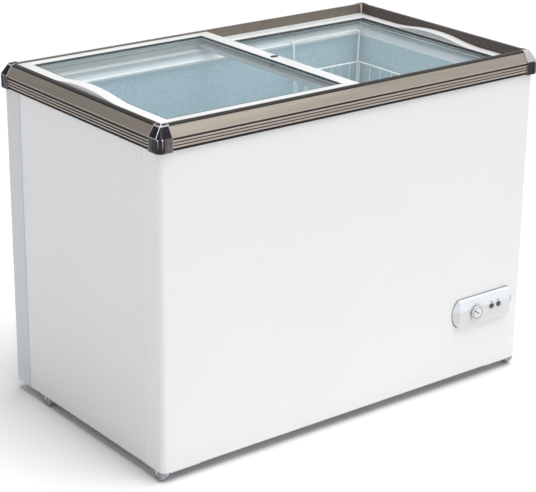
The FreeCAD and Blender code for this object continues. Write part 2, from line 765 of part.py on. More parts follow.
# ---------------------------------------------------------------- control panel
def control_housing():
    """Moulded housing: creased face, bulged ends, open back."""
    half, bulge, high = panel_face_width / 2, panel_end_bulge, panel_height / 2

    def envelope(shrink):
        h, b, z = half - shrink, max(bulge - shrink, 1.0), high - shrink
        outline = [
            Part.LineSegment(V(-h, 0, z), V(h, 0, z)),
            Part.Arc(V(h, 0, z), V(h + b, 0, 0), V(h, 0, -z)),
            Part.LineSegment(V(h, 0, -z), V(-h, 0, -z)),
            Part.Arc(V(-h, 0, -z), V(-h - b, 0, 0), V(-h, 0, z)),
        ]
        plan = Part.Face(Part.Wire([e.toShape() for e in outline]))
        depth = panel_depth - shrink
        body = plan.extrude(V(0, -depth, 0))
        wide = h + b + 1
        edge = depth - panel_crease
        side = [(0, z), (-(edge - 2), z), (-edge, z - 2), (-depth, 8.0), (-edge, -z + 2),
                (-(edge - 2), -z), (0, -z)]
        body = body.common(prism([(-wide, y, w) for y, w in side], (2 * wide, 0, 0)))
        for s in (-1, 1):
            wedge = [(s * h, -depth - 1, -z - 1), (s * (h + b) + s * b / depth, 1, -z - 1),
                     (s * (h + b + 30), 1, -z - 1), (s * (h + b + 30), -depth - 1, -z - 1)]
            body = body.cut(prism(wedge, (0, 0, 2 * z + 2)))
        return body

    inner = envelope(panel_shell)
    shell = envelope(0).cut(inner)
    y_face = -panel_depth
    for x, z, r in [(knob_offset, -knob_drop, spindle_radius + spindle_play)] + [
            (dx, lamp_rise, lamp_radius - 1.5) for dx in lamp_offsets.values()]:
        shell = shell.cut(rod((x, y_face - 5, z), (x, 5, z), r))
    shell.translate(V(panel_centre_x, -body_y, panel_centre_z))
    return shell


def thermostat():
    """Knob with its spindle, and the fixed thermostat behind the skin."""
    x, z = panel_centre_x + knob_offset, panel_centre_z - knob_drop
    face = -body_y - panel_depth - 0.4
    knob = rod((x, face, z), (x, face - knob_height, z), knob_radius)
    rims = [e for e in knob.Edges if len(e.Vertexes) == 1 and e.Vertexes[0].Point.y < face - 1]
    knob = knob.makeFillet(1.5, rims)
    pointer = block(x - 1.2, x + 1.2, face - knob_height, face - knob_height - 0.6,
                    z - 4, z + knob_radius - 2)
    pointer.rotate(V(x, 0, z), V(0, 1, 0), -55)
    back = -(body_y - sheet) + 8
    spindle = rod((x, face, z), (x, back + 10, z), spindle_radius)
    knob = fused([knob, pointer, spindle])
    case = block(x - 22, x + 22, back, back + 40, z - 18, z + 18)
    case = case.cut(rod((x, back - 1, z), (x, back + 11, z), spindle_radius + spindle_play))
    return knob, case


def lamp(offset):
    """Round indicator: a dark bezel stepping down to its lens, one moulding."""
    x, z = panel_centre_x + offset, panel_centre_z + lamp_rise
    face = -body_y - panel_depth + 0.4
    body = rod((x, face + 8, z), (x, face, z), lamp_radius - 1.6)
    head = rod((x, face - 0.45, z), (x, face - 2.4, z), lamp_radius)
    neck = rod((x, face, z), (x, face - 0.5, z), lamp_radius - 1.6)
    cone = Part.makeCone(lamp_radius - 2.2, lamp_radius - 3.4, 1.4, V(x, face - 2.4, z), V(0, -1, 0))
    return fused([body, neck, head, cone])


def skin_cutouts():
    """Openings in the front skin for the spindle and the lamp wires."""
    spots = [(knob_offset, -knob_drop, spindle_radius + 3)]
    spots += [(dx, lamp_rise, lamp_radius - 0.5) for dx in lamp_offsets.values()]
    cuts = []
    for dx, dz, radius in spots:
        x, z = panel_centre_x + dx, panel_centre_z + dz
        cuts.append(rod((x, -body_y - 1, z), (x, -body_y + 2, z), radius))
    return cuts


# -------------------------------------------------------------- compressor bay
bay_y = body_y - sheet
grille_y = body_y - return_width - lap - grille_length / 2
grille_z = body_bottom + sheet + bay_height / 2


def grille_hole():
    """Opening in the right-hand side panel."""
    return block(body_x - 10, body_x + 10, grille_y - grille_length / 2, grille_y + grille_length / 2,
                 grille_z - grille_height / 2, grille_z + grille_height / 2)


def side_grille():
    """Louvred cover of the compressor bay, flange outside the panel."""
    face = body_x - sheet
    y0, y1 = grille_y - grille_length / 2, grille_y + grille_length / 2
    z0, z1 = grille_z - grille_height / 2, grille_z + grille_height / 2
    f = grille_flange
    ring = block(face, face + grille_proud, y0 - f, y1 + f, z0 - f, z1 + f)
    ring = ring.fuse(block(face - 8, face, y0, y1, z0, z1).cut(
        block(face - 9, face, y0 + 2, y1 - 2, z0 + 2, z1 - 2)))
    ring = ring.cut(block(face - 1, face + 9, y0 + 4, y1 - 4, z0 + 4, z1 - 4))
    pitch = (grille_height - 8) / slat_count
    for i in range(slat_count):
        z = z0 + 4 + pitch * (i + 0.5)
        low, high = z - pitch * 0.45, z + pitch * 0.2
        front, back = face + grille_proud, face - 7
        section = [(front, low), (front, low + slat_thickness), (back, high + slat_thickness), (back, high)]
        ring = ring.fuse(prism([(x, y0 + 3, h) for x, h in section], (0, grille_length - 6, 0)))
    for y in (y0 - f / 2, y1 + f / 2):
        for z in (grille_z - grille_height / 3, grille_z + grille_height / 3):
            ring = ring.cut(rod((face - 1, y, z), (face + 9, y, z), 2.0))
    return ring.removeSplitter()


def bay_cover():
    """Sheet that closes the bay off from the foam: roof and inner wall."""
    foot, under, end = body_bottom + sheet, bay_top - sheet, body_x - 2 * sheet
    outline = [(bay_left, foot), (bay_left + sheet, foot), (bay_left + sheet, under), (end, under),
               (end, bay_top), (bay_left, bay_top)]
    y = bay_y - corner_radius
    return prism([(x, -y, z) for x, z in outline], (0, 2 * y, 0))


def compressor_parts():
    """Hermetic compressor on rubber feet, its relay box, dryer and pipes."""
    x, y, foot = body_x - 2 * sheet - bay_length / 2, compressor_y, body_bottom + sheet
    low = foot + compressor_feet_height
    r, h = compressor_radius, compressor_height
    shell = Part.makeCylinder(r, h, V(x, y, low))
    for z, blend in ((low, 20.0), (low + h, 34.0)):
        rim = [e for e in shell.Edges if len(e.Vertexes) == 1 and abs(e.Vertexes[0].Point.z - z) < 0.01]
        shell = shell.makeFillet(blend, rim)
    seam = Part.makeCylinder(r + 4, 4, V(x, y, low + h * 0.55))
    plate = block(x - r - plate_margin, x + r + plate_margin, y - 60, y + 60, foot + 14, foot + 17)
    saddle = Part.makeCylinder(r - 34, 10, V(x, y, foot + 16))
    compressor = fused([shell, seam, saddle, plate])
    feet = []
    for sx in (-1, 1):
        for sy in (-1, 1):
            at = V(x + sx * (r + 4), y + sy * foot_half_pitch, foot)
            compressor = compressor.cut(Part.makeCylinder(4.0, 60, at))
            stem = Part.makeCylinder(4.0, 22, at)
            feet.append(Part.makeCylinder(foot_radius, 14, at).fuse(stem).removeSplitter())
    pipe_z = low + 98
    compressor = compressor.fuse(rod((x - r + 4, y, pipe_z), (x - r - 8, y, pipe_z), 5.5))
    compressor = compressor.fuse(rod((x, y + r - 4, pipe_z), (x, y + r + 8, pipe_z), 5.5))
    relay = block(x - 28, x + 28, y - r - 38, y - r - 4, low + 60, low + 120)
    relay = relay.makeFillet(4, upright_edges(relay))
    dryer_x, dryer_y, dryer_r = x - 60, y - 190, 11
    dryer = Part.makeCylinder(dryer_r, 60, V(dryer_x, dryer_y, foot + 32))
    dryer = dryer.fuse(Part.makeCone(dryer_r, 3.5, 12, V(dryer_x, dryer_y, foot + 92)))
    dryer = dryer.fuse(Part.makeCone(3.5, dryer_r, 12, V(dryer_x, dryer_y, foot + 20)))
    dryer = dryer.fuse(Part.makeCylinder(6, 20, V(dryer_x, dryer_y, foot))).removeSplitter()
    left_x = x - r - 20
    discharge = bent_tube([(x - r - 8, y, pipe_z), (left_x, y, pipe_z), (left_x, dryer_y, pipe_z),
                           (dryer_x, dryer_y, pipe_z), (dryer_x, dryer_y, foot + 104)], 3.0, 8)
    back_y = y + r + 40
    suction = bent_tube([(x, y + r + 8, pipe_z), (x, back_y, pipe_z), (x - 60, back_y, pipe_z),
                         (x - 60, back_y, bay_top - sheet)], 4.0, 12)
    return {"compressor": compressor.removeSplitter(), "compressor_feet": Part.makeCompound(feet),
            "relay_cover": relay, "filter_dryer": dryer,
            "refrigerant_pipes": Part.makeCompound([discharge, suction])}


def cord_gland():
    """Bushing in the rear skin where the supply lead goes in."""
    x, z = body_x - 120.0, body_bottom + 60.0
    inside, outside = body_y - sheet - 4, body_y
    neck = rod((x, inside, z), (x, outside, z), 8.0)
    outer = rod((x, outside, z), (x, outside + 3, z), 12.0)
    inner = rod((x, inside - 1, z), (x, inside + 4, z), 11.0)
    gland = neck.fuse(outer).fuse(inner).removeSplitter()
    hole = rod((x, inside, z), (x, outside + 1, z), 8.0)
    return gland.cut(rod((x, 0, z), (x, body_y + 50, z), 4.2)), hole


# ------------------------------------------------------------------------ build
def build():
    """Makes every sub-part and writes it."""
    os.makedirs("parts", exist_ok=True)
    gland, gland_hole = cord_gland()
    front = folded_panel(-1)
    for hole in skin_cutouts():
        front = front.cut(hole)
    save("front_panel", front)
    save("rear_panel", folded_panel(1).cut(gland_hole))
    save("cord_gland", gland)
    save("left_side_panel", side_panel(-1))
    save("right_side_panel", side_panel(1))
    save("base_panel", base_panel())
    save("insulation_foam", insulation_foam())
    save("tank_liner", tank_liner())
    save("evaporator_coil", evaporator_coil())
    save("condenser_coil", condenser_coil())
    for side in ("front", "rear"):
        save(f"{side}_track", long_track(side))
    for side in ("left", "right"):
        save(f"{side}_end_collar", end_collar(side))
    for side in ("front", "rear", "left", "right"):
        save(f"rim_{side}", rim_rail(side))
    keys = []
    for end, sy in (("front", -1), ("rear", 1)):
        for side, sx in (("left", -1), ("right", 1)):
            save(f"corner_cap_{end}_{side}", corner_cap(sx, sy))
            keys.append(corner_key(sx, sy))
    save("rim_corner_keys", Part.makeCompound(keys))
    for parts in (upper_lid(), lower_lid(), lid_lock(), basket(), compressor_parts()):
        for name, shape in parts.items():
            save(name, shape)
    brackets, axles, bolts = [], [], []
    for name, sign, y in wheel_centres():
        bracket, wheel, axle, screws = roller(sign, y)
        save(f"roller_wheel_{name}", wheel)
        brackets.append(bracket)
        axles.append(axle)
        bolts += screws
    save("roller_brackets", Part.makeCompound(brackets))
    save("roller_axles", Part.makeCompound(axles))
    save("bracket_bolts", Part.makeCompound(bolts))
    save("control_housing", control_housing())
    knob, case = thermostat()
    save("thermostat_knob", knob)
    save("thermostat_body", case)
    for name, offset in lamp_offsets.items():
        save(name, lamp(offset))
    save("bay_cover", bay_cover())
    save("side_grille", side_grille())


build()
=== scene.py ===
import json
from math import cos, pi, radians, sin

import bmesh
import bpy
from mathutils import Matrix, Vector

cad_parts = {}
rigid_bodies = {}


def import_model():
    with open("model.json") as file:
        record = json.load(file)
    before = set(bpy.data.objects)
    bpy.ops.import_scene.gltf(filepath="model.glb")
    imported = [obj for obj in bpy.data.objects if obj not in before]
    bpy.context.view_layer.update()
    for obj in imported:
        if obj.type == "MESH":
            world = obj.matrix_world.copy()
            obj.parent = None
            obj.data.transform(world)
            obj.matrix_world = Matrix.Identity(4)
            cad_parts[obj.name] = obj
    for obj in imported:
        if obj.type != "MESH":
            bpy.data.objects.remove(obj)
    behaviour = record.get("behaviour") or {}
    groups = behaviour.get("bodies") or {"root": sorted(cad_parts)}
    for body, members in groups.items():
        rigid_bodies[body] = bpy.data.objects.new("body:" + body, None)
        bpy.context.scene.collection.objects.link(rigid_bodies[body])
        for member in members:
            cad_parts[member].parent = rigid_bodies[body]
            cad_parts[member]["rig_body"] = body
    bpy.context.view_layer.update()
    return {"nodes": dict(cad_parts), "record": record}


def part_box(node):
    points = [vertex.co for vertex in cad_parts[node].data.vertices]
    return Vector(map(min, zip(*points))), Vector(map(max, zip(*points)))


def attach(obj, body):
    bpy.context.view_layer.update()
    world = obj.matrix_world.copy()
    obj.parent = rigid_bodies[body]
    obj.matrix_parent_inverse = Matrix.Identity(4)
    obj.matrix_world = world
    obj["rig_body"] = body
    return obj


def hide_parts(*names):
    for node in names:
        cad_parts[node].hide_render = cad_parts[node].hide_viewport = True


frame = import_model()

# %% [markdown]
# The freezer stands on the floor with its front at -Y and its compressor end
# at +X. Every place used below is read from the boxes of the CAD nodes, so a
# piece made here always lies where the engineering model says. A short helper
# turns millimetres into the metres that Blender works in.

# %% Sizes that several pieces share
MM = 0.001
MERGE = 0.00001              # corners closer than this are one corner
skin_low, skin_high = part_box("left_side_panel")
skin_x = -skin_low[0]
skin_y = -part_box("front_panel")[0][1]
rim_low, rim_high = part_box("rim_front")
rim_foot = rim_low[2]
rim_top = rim_high[2]
print(f"skin {2 * skin_x:.3f} x {2 * skin_y:.3f} m, rim {rim_foot:.3f} to {rim_top:.3f} m")

# %% [markdown]
# Most finishes here are sums and products of a few patterns. Wiring them by
# hand hides the idea, so a small class wraps a node's socket and lets Python's
# own operators add the Math nodes. All other nodes come from one method that
# takes the node's type, its settings, and what its sockets are fed with.


# %% A socket that can be used in sums
class Value:
    """A node's output; an operator on it adds one Math node."""

    def __init__(self, finish, socket):
        self.finish = finish
        self.socket = socket

    def math(self, operation, first, second):
        node = self.finish.node("ShaderNodeMath", {"operation": operation}, {0: first, 1: second})
        return Value(self.finish, node.outputs[0])

    def __add__(self, other):
        return self.math("ADD", self, other)

    __radd__ = __add__

    def __sub__(self, other):
        return self.math("SUBTRACT", self, other)

    def __rsub__(self, other):
        return self.math("SUBTRACT", other, self)

    def __mul__(self, other):
        return self.math("MULTIPLY", self, other)

    __rmul__ = __mul__

    def __abs__(self):
        return self.math("ABSOLUTE", self, 0.0)

    def largest(self, other):
        return self.math("MAXIMUM", self, other)

    def smallest(self, other):
        return self.math("MINIMUM", self, other)

    def near(self, centre, half):
        """1 within `half` of the centre, falling off over as much again."""
        return 1 - abs(self - centre).step(half, 1.8 * half)

    def step(self, low, high):
        """0 below `low`, 1 above `high`, with a soft passage between them."""
        node = self.finish.node(
            "ShaderNodeMapRange",
            {"interpolation_type": "SMOOTHSTEP"},
            {"Value": self, "From Min": low, "From Max": high},
        )
        return Value(self.finish, node.outputs["Result"])


# %% One finish, which is one material
class Finish:
    """A Principled material whose nodes are added one by one."""

    def __init__(self, name, **fixed):
        self.material = bpy.data.materials.new(name)
        self.material.use_nodes = True
        self.tree = self.material.node_tree
        self.shader = self.tree.nodes["Principled BSDF"]
        for socket, value in fixed.items():
            self.shader.inputs[socket.replace("_", " ")].default_value = value
        self.place = Value(self, self.node("ShaderNodeTexCoord", {}, {}).outputs["Object"])
        split = self.node("ShaderNodeSeparateXYZ", {}, {"Vector": self.place})
        self.x, self.y, self.z = (Value(self, split.outputs[axis]) for axis in "XYZ")

    def node(self, kind, settings, sockets):
        """Any node: its settings first, then what its sockets are fed with."""
        made = self.tree.nodes.new(kind)
        for key, value in settings.items():
            setattr(made, key, value)
        for key, value in sockets.items():
            if isinstance(value, Value):
                self.tree.links.new(value.socket, made.inputs[key])
            else:
                made.inputs[key].default_value = value
        return made

    def stretched(self, scale):
        """The object's coordinates, stretched by three numbers."""
        node = self.node("ShaderNodeMapping", {}, {"Vector": self.place, "Scale": scale})
        return Value(self, node.outputs["Vector"])

    def noise(self, scale, detail=3.0, roughness=0.5, vector=None):
        where = {
            "Vector": vector or self.place,
            "Scale": scale,
            "Detail": detail,
            "Roughness": roughness,
        }
        return Value(self, self.node("ShaderNodeTexNoise", {}, where).outputs[0])

    def cells(self, scale, feature="F1", output="Distance", vector=None):
        where = {"Vector": vector or self.place, "Scale": scale}
        made = self.node("ShaderNodeTexVoronoi", {"feature": feature}, where)
        return Value(self, made.outputs[output])

    def mix(self, mask, low, high):
        """Colour `low` where the mask is 0 and `high` where it is 1."""
        made = self.node("ShaderNodeMix", {"data_type": "RGBA"}, {0: mask, 6: low, 7: high})
        return Value(self, made.outputs[2])

    def feed(self, socket, value):
        self.tree.links.new(value.socket, self.shader.inputs[socket])

    def relief(self, height, strength, distance):
        """Bumps of `distance` metres where the height goes from 0 to 1."""
        where = {"Strength": strength, "Distance": distance, "Height": height}
        made = self.node("ShaderNodeBump", {}, where)
        self.feed("Normal", Value(self, made.outputs["Normal"]))


def rgb(red, green, blue):
    return (red, green, blue, 1.0)


print("material helpers ready")

# %% [markdown]
# The cabinet is folded sheet steel with a baked white enamel. Up close such a
# coat is never quite level: it has a fine orange peel, and the gloss drifts a
# little over a long panel. A plain white shader looks like paper, so the peel
# goes into the bump and the drift into the roughness.


# %% White enamel on the steel skin
def enamel(name, tone, peel):
    made = Finish(name, Coat_Roughness=0.12, Specular_IOR_Level=0.4)
    drift = made.noise(2.2, 4.0)
    cloud = made.noise(38.0, 3.0, 0.6)
    # Painted shade: the enamel turns greyer near the floor, fully so below 30 mm up and fading
    # out by 75 mm.
    floor_shade = 1 - made.z.step(0.030, 0.075)
    paper = made.mix(drift.step(0.35, 0.65), rgb(*(t * 0.985 for t in tone)), rgb(*tone))
    made.feed("Base Color", made.mix(floor_shade * 0.25, paper, rgb(0.80, 0.81, 0.82)))
    made.feed("Roughness", 0.30 + 0.07 * drift + 0.05 * cloud)
    made.feed("Coat Weight", 0.25 + 0.1 * cloud)
    made.relief(made.noise(620.0, 2.0) + 0.4 * made.noise(150.0, 2.0), peel, 0.00025)
    return made.material


skin_white = enamel("white enamel", (0.890, 0.884, 0.876), 0.22)
# The sides and the rear are copies of the same enamel, painted darker as shade: the sides a
# little darker and bluer than the front, the rear much darker.
side_enamel_shaded = enamel("white enamel on the sides, painted shade", (0.855, 0.862, 0.87), 0.6)
rear_enamel_shaded = enamel("white enamel on the rear, painted darker shade", (0.68, 0.70, 0.72), 0.4)
print("enamel:", skin_white.name, side_enamel_shaded.name, rear_enamel_shaded.name)

# %% [markdown]
# The rim is an extruded profile in a champagne colour. Its slope is bright.
# Its flat top and its inner face are painted with light and shade in a tone
# set for each length: a dark brown strip on the front and left, a lighter brown
# on the right, and pale at the rear. The grooves between the ribs and the foot
# of the rim are painted nearly black as shade, and a thin painted line runs
# along the very top edge. All of that follows the profile, so the masks are
# made from the height and from how far a point stands out from the skin.


# %% Champagne rim with painted shade on its top strip, inner face and grooves
# Each pair is where a mask starts and where it is complete: depths below the
# rim's top, heights over its foot, and places measured out from the skin.
SLOPE_END = (26.0 * MM, 25.4 * MM)
FLAT_TOP = (4.4 * MM, 4.0 * MM)
LIP = (0.55 * MM, 0.35 * MM)
TOE = (2.2 * MM, 3.0 * MM)
INNER_FACE = (-19.6 * MM, -19.3 * MM)
GROOVE_FADE = 1.2 * MM
# The colour of the painted shade in the grooves and at the rim's foot.
groove_shade_black = (0.020, 0.014, 0.014)
edge_line_painted = (0.08, 0.065, 0.065)


def rim_finish(name, along, crest, top_tone, inner_tone):
    made = Finish(name, Coat_Roughness=0.2, Anisotropic=0.4)

    def below_top(depths):
        return made.z.step(rim_top - depths[0], rim_top - depths[1])

    out = (abs(made.x) - skin_x).largest(abs(made.y) - skin_y)
    upper = below_top(SLOPE_END)
    # Painted shade: the grooves between the ribs are painted nearly black, and so is the rim's
    # foot just below.
    shaded_groove = (1 - out.step(crest, crest + GROOVE_FADE)) * (1 - upper)
    shaded_groove = shaded_groove.largest(1 - made.z.step(rim_foot + TOE[0], rim_foot + TOE[1]))
    # The flat top strip and the inner face take this length's painted light and shade tones.
    flat = below_top(FLAT_TOP)
    inner = 1 - out.step(*INNER_FACE)
    scratches = made.noise(1.0, 4.0, 0.7, made.stretched(along))
    drift = made.noise(5.0, 3.0)
    rubbed = scratches.step(0.3, 0.7)
    slope = made.mix(rubbed, rgb(0.430, 0.378, 0.315), rgb(0.515, 0.460, 0.392))
    rib = made.mix(rubbed, rgb(0.42, 0.36, 0.32), rgb(0.52, 0.455, 0.40))
    body = made.mix(upper, rib, slope)
    body = made.mix(shaded_groove, body, rgb(*groove_shade_black))
    # A thin painted line along the very top edge: a highlight on the darkest strips, a dark line
    # on the pale rear strip.
    strip = made.mix(below_top(LIP), rgb(*top_tone), rgb(*edge_line_painted))
    body = made.mix(flat * (1 - inner), body, strip)
    body = made.mix(inner, body, rgb(*inner_tone))
    shade = shaded_groove.largest(flat).largest(inner)
    made.feed("Base Color", body)
    made.feed("Metallic", 0.72 - 0.45 * shade)
    made.feed("Roughness", 0.30 + 0.10 * scratches + 0.06 * drift + 0.12 * shade)
    made.feed("Coat Weight", 0.35 - 0.3 * shade)
    made.relief(scratches, 0.10, 0.0001)
    return made.material


# Tones of painted light and shade for the top strip and the inner face: dark on the front and
# left, lighter on the right, pale at the rear.
brown = (0.022, 0.016, 0.017)
bronze = (0.150, 0.126, 0.105)
right_strip_shade = (0.085, 0.070, 0.060)
right_inner_shade = (0.145, 0.118, 0.106)
pale = (0.62, 0.60, 0.57)
sand = (0.245, 0.208, 0.175)
LONG, SHORT = (6.0, 900.0, 900.0), (900.0, 6.0, 900.0)
FRONT_CREST, END_CREST, REAR_CREST = 4.7 * MM, 5.9 * MM, 4.6 * MM
rim_long = rim_finish("champagne rim, front", LONG, FRONT_CREST, brown, bronze)
rim_short = rim_finish("champagne rim, left", SHORT, END_CREST, brown, bronze)
rim_far = rim_finish("champagne rim, right", SHORT, END_CREST, right_strip_shade, right_inner_shade)
rim_back = rim_finish("champagne rim, rear", LONG, REAR_CREST, pale, sand)
print("rim:", rim_long.name, rim_short.name, rim_far.name, rim_back.name)

# %% [markdown]
# The corner caps are injection moulded in a nearly black plastic. Bright lines
# are painted on as highlights along the borders of their facets: down the
# ridge, at the foot and the top of the slope, and at the cap's ends; the slopes
# of the right-hand caps are painted bright too. The upright part has two
# painted gleams, two painted highlight dots under the slope, and a lighter
# painted sheen on its long-side flank. What tells the places apart is how much
# further a point stands out to the side than to the front.

# %% Gunmetal caps with painted highlights on their borders
CAP_END = 30.0 * MM
SLOPE_FOOT = rim_top - 25.6 * MM
RIDGE_LEAN = 0.40
SHEEN_REACH = (-22 * MM, -13 * MM)
made = Finish("gunmetal cap", Coat_Weight=0.15, Coat_Roughness=0.05, Specular_IOR_Level=0.3)
out_x, out_y = abs(made.x) - skin_x, abs(made.y) - skin_y
along = out_x - out_y
slope = made.z.step(SLOPE_FOOT - 0.4 * MM, SLOPE_FOOT)
right_end = made.x.step(0.0, 0.1)
# Painted highlights: the ridge, the ends, the lines at the slope's foot and top, the dots and the
# gleams.
ridge = (along - RIDGE_LEAN * (rim_top - made.z)).near(0.0, 1.0 * MM) * slope
ends = (out_x.smallest(out_y)).near(-CAP_END, 1.5 * MM)
foot_line = made.z.near(SLOPE_FOOT, 0.5 * MM) * along.step(6 * MM, 9 * MM)
top_line = made.z.near(rim_top - 1.6 * MM, 0.9 * MM)
highlight_dots = along.near(4 * MM, 1.4 * MM) + along.near(-11 * MM, 1.4 * MM)
highlight_dots = highlight_dots * made.z.near(SLOPE_FOOT - 2 * MM, 1.3 * MM)
gleams = along.near(3 * MM, 0.7 * MM) + along.near(-11 * MM, 1.0 * MM)
gleams = gleams * (1 - slope) * made.z.step(rim_foot, SLOPE_FOOT)
painted_highlight = ridge.largest(ends * (0.12 + 0.35 * slope))
painted_highlight = painted_highlight.largest(foot_line * 0.5).largest(top_line * 0.7)
painted_highlight = painted_highlight.largest(highlight_dots * 0.9).largest(gleams * 0.6)
painted_highlight = painted_highlight.largest(slope * right_end * 0.6)
# Painted sheen: on the left caps, the upright flank along the long side is painted a lighter
# tone.
sheen_flank = (1 - slope) * (1 - along.step(*SHEEN_REACH)) * (1 - right_end)
flakes = made.cells(900.0)
drift = made.noise(30.0, 3.0)
black = made.mix(flakes.step(0.1, 0.8), rgb(0.022, 0.019, 0.028), rgb(0.010, 0.009, 0.013))
black = made.mix(sheen_flank, black, rgb(0.115, 0.098, 0.098))
made.feed("Base Color", made.mix(painted_highlight, black, rgb(0.88, 0.88, 0.90)))
made.feed("Metallic", 0.15 + 0.1 * flakes)
made.feed("Roughness", 0.22 + 0.10 * drift + 0.15 * painted_highlight)
made.relief(drift, 0.05, 0.0002)
cap_finish = made.material
print("caps:", cap_finish.name)

# %% [markdown]
# White mouldings: the lid frames, the tracks and collar inside the rim, the
# corner keys. They differ in tone and gloss only, so one recipe makes them
# all. Moulded plastic shows soft flow marks rather than grain.


# %% White and grey mouldings
def moulding(name, tone, gloss, grain=420.0, depth=0.12):
    made = Finish(name, Specular_IOR_Level=0.5)
    flow = made.noise(9.0, 3.0)
    fine = made.noise(grain, 2.0)
    dull = made.mix(flow.step(0.3, 0.7), rgb(*(t * 0.965 for t in tone)), rgb(*tone))
    made.feed("Base Color", dull)
    made.feed("Roughness", gloss + 0.08 * flow + 0.05 * fine)
    made.relief(fine + 0.5 * flow, depth, 0.0002)
    return made.material


lid_white = moulding("lid frame white", (0.86, 0.86, 0.855), 0.34)
collar_white = moulding("collar white", (0.74, 0.765, 0.775), 0.36)
key_white = moulding("corner key white", (0.86, 0.86, 0.85), 0.3)
glide_white = moulding("glide pad white", (0.72, 0.72, 0.69), 0.5)
grille_grey = moulding("grille grey", (0.70, 0.715, 0.72), 0.42, 260.0, 0.2)
roller_grey = moulding("roller grey", (0.40, 0.41, 0.42), 0.38, 300.0, 0.25)
black_plastic = moulding("black plastic", (0.022, 0.022, 0.025), 0.35, 260.0, 0.2)
print("mouldings: 7")

# %% [markdown]
# The tank is lined with stucco-embossed sheet: a rolled pattern of small
# pebbles that hides scratches. Two sizes of cells and a slow noise are added
# up, so the pebbles never line up. The tint is the pale blue of the coat.

# %% Stucco liner
made = Finish("stucco liner", Specular_IOR_Level=0.55)
warp = made.noise(60.0, 2.0)
pebbles = made.cells(150.0, "SMOOTH_F1")
fine = made.cells(330.0, "SMOOTH_F1")
height = (1 - pebbles) + 0.35 * (1 - fine) + 0.5 * warp
blue, hollow_shade_blue = rgb(0.355, 0.500, 0.560), rgb(0.290, 0.425, 0.485)
# Painted shade: the hollows between the pebbles are painted a deeper blue.
made.feed("Base Color", made.mix(pebbles.step(0.15, 0.75), blue, hollow_shade_blue))
made.feed("Metallic", 0.05 * (1 - pebbles))
made.feed("Roughness", 0.34 + 0.16 * warp)
made.relief(height, 0.55, 0.0011)
liner_blue = made.material
print("liner:", liner_blue.name)

# %% [markdown]
# The panes are 4 mm float glass. Glass that bends every ray would leave the
# tank dark, because light reaches it only through caustics. A flat pane
# hardly shifts what is behind it, so it is made of two shaders instead: a
# clear one with a slight green cast, and a mirror that grows with the fifth
# power of the slant, on both faces alike. A little dust keeps it from looking
# absent.

# %% Lid glass
made = Finish("lid glass")
clear = made.node("ShaderNodeBsdfTransparent", {}, {"Color": rgb(0.965, 0.985, 0.985)})
sheen = {"Color": rgb(0.96, 0.98, 0.98), "Roughness": 0.015}
mirror = made.node("ShaderNodeBsdfGlossy", {}, sheen)
slant = Value(made, made.node("ShaderNodeLayerWeight", {}, {"Blend": 0.5}).outputs["Facing"])
square = slant * slant
dust = made.noise(26.0, 5.0, 0.65).step(0.45, 0.95)
haze = made.node("ShaderNodeBsdfDiffuse", {}, {"Color": rgb(0.80, 0.86, 0.88)})
pane = made.node("ShaderNodeMixShader", {}, {0: 0.03 + 0.62 * (square * square * slant)})
made.tree.links.new(clear.outputs[0], pane.inputs[1])
made.tree.links.new(mirror.outputs[0], pane.inputs[2])
dusty = made.node("ShaderNodeMixShader", {}, {0: 0.035 * dust})
made.tree.links.new(pane.outputs[0], dusty.inputs[1])
made.tree.links.new(haze.outputs[0], dusty.inputs[2])
made.tree.links.new(dusty.outputs[0], made.tree.nodes["Material Output"].inputs["Surface"])
made.tree.nodes.remove(made.shader)
lid_glass = made.material
print("glass:", lid_glass.name)

# %% [markdown]
# Metals and rubbers: zinc with its crystal spangle on the brackets and the
# base sheet, tinned copper on the pipes, black lacquer on the compressor,
# nylon-coated wire on the basket. Each gets the one mark that gives it away.


# %% Metal, wire and rubber
def zinc_finish(name, size, shine):
    made = Finish(name, Specular_IOR_Level=0.5)
    crystal = made.cells(size, "F1", "Color")
    drift = made.noise(14.0, 4.0)
    dark, light = rgb(0.50, 0.52, 0.54), rgb(0.64, 0.66, 0.67)
    made.feed("Base Color", made.mix(crystal.step(0.2, 0.8), dark, light))
    made.feed("Metallic", 0.85 + 0.1 * drift)
    made.feed("Roughness", shine + 0.2 * crystal + 0.1 * drift)
    made.relief(drift, 0.08, 0.0002)
    return made.material


def lacquer(name, tone, metal, shine, size):
    made = Finish(name, Coat_Roughness=0.1)
    drift = made.noise(size, 4.0, 0.6)
    darker = rgb(*(t * 0.72 for t in tone))
    made.feed("Base Color", made.mix(drift.step(0.3, 0.75), rgb(*tone), darker))
    made.feed("Metallic", metal + 0.04 * drift)
    made.feed("Roughness", shine + 0.18 * drift)
    made.feed("Coat Weight", 0.2 * drift)
    made.relief(made.noise(size * 9, 2.0), 0.15, 0.0003)
    return made.material


zinc_sheet = zinc_finish("galvanised sheet", 90.0, 0.28)
zinc_bolt = zinc_finish("zinc plate", 320.0, 0.22)
copper = lacquer("tinned copper", (0.60, 0.33, 0.22), 0.90, 0.22, 40.0)
shell_black = lacquer("compressor lacquer", (0.018, 0.018, 0.020), 0.0, 0.22, 22.0)
rubber = lacquer("foot rubber", (0.030, 0.030, 0.030), 0.0, 0.62, 60.0)
foam = lacquer("rigid foam", (0.78, 0.70, 0.42), 0.0, 0.70, 50.0)
lock_steel = lacquer("lock barrel steel", (0.42, 0.42, 0.43), 0.9, 0.2, 200.0)
wire_white = lacquer("coated wire", (0.90, 0.90, 0.89), 0.0, 0.20, 90.0)
# The same grey also draws the seam line behind the control panel, which is painted shade.
seal_and_seam_shade_grey = lacquer("pane seal and seam shade", (0.13, 0.145, 0.155), 0.0, 0.45, 120.0)
mark_grey = lacquer("printed grey", (0.040, 0.040, 0.045), 0.0, 0.45, 300.0)
print("metals, wire and rubber: 10")

